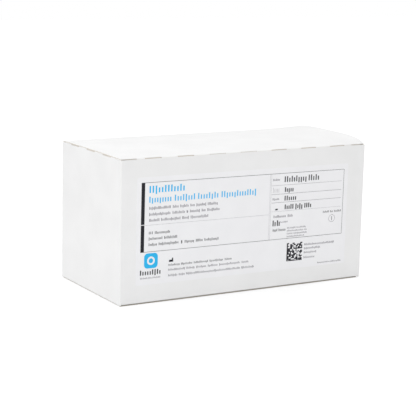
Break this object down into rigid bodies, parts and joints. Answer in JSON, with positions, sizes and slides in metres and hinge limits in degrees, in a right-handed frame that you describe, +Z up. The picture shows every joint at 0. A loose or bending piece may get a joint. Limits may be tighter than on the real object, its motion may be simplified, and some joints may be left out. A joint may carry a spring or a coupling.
{
  "type": "swab carton",
  "caption": "White paperboard carton of individually wrapped lab swabs, with a tuck-in lid that opens on its back edge and a printed label on its front.",
  "frame": {"origin": "On the floor, under the middle of the closed carton.", "axes": "+X runs along the carton, to the right as one faces the label. +Y runs from the labelled front to the hinged back. +Z is up."},
  "size_m": [0.202, 0.0948, 0.1061],
  "materials": {
    "board": "satin white coated board, grey-tan inside",
    "label_paper": "smooth white label paper",
    "wrapper": "white peel wrapper with a clear front"
  },
  "bodies": {
    "carton": {"carton_body": "board", "front_label": "label_paper", "swab_stack_1": "wrapper", "swab_stack_2": "wrapper", "swab_stack_3": "wrapper", "swab_stack_4": "wrapper"},
    "lid": {"lid": "board"}
  },
  "joints": [
    {"name": "lid_hinge", "type": "hinge", "parent": "carton", "child": "lid", "pos_m": [0, 0.04709, 0.10134], "axis": [-1, 0, 0], "range_deg": [0, 175]}
  ]
}
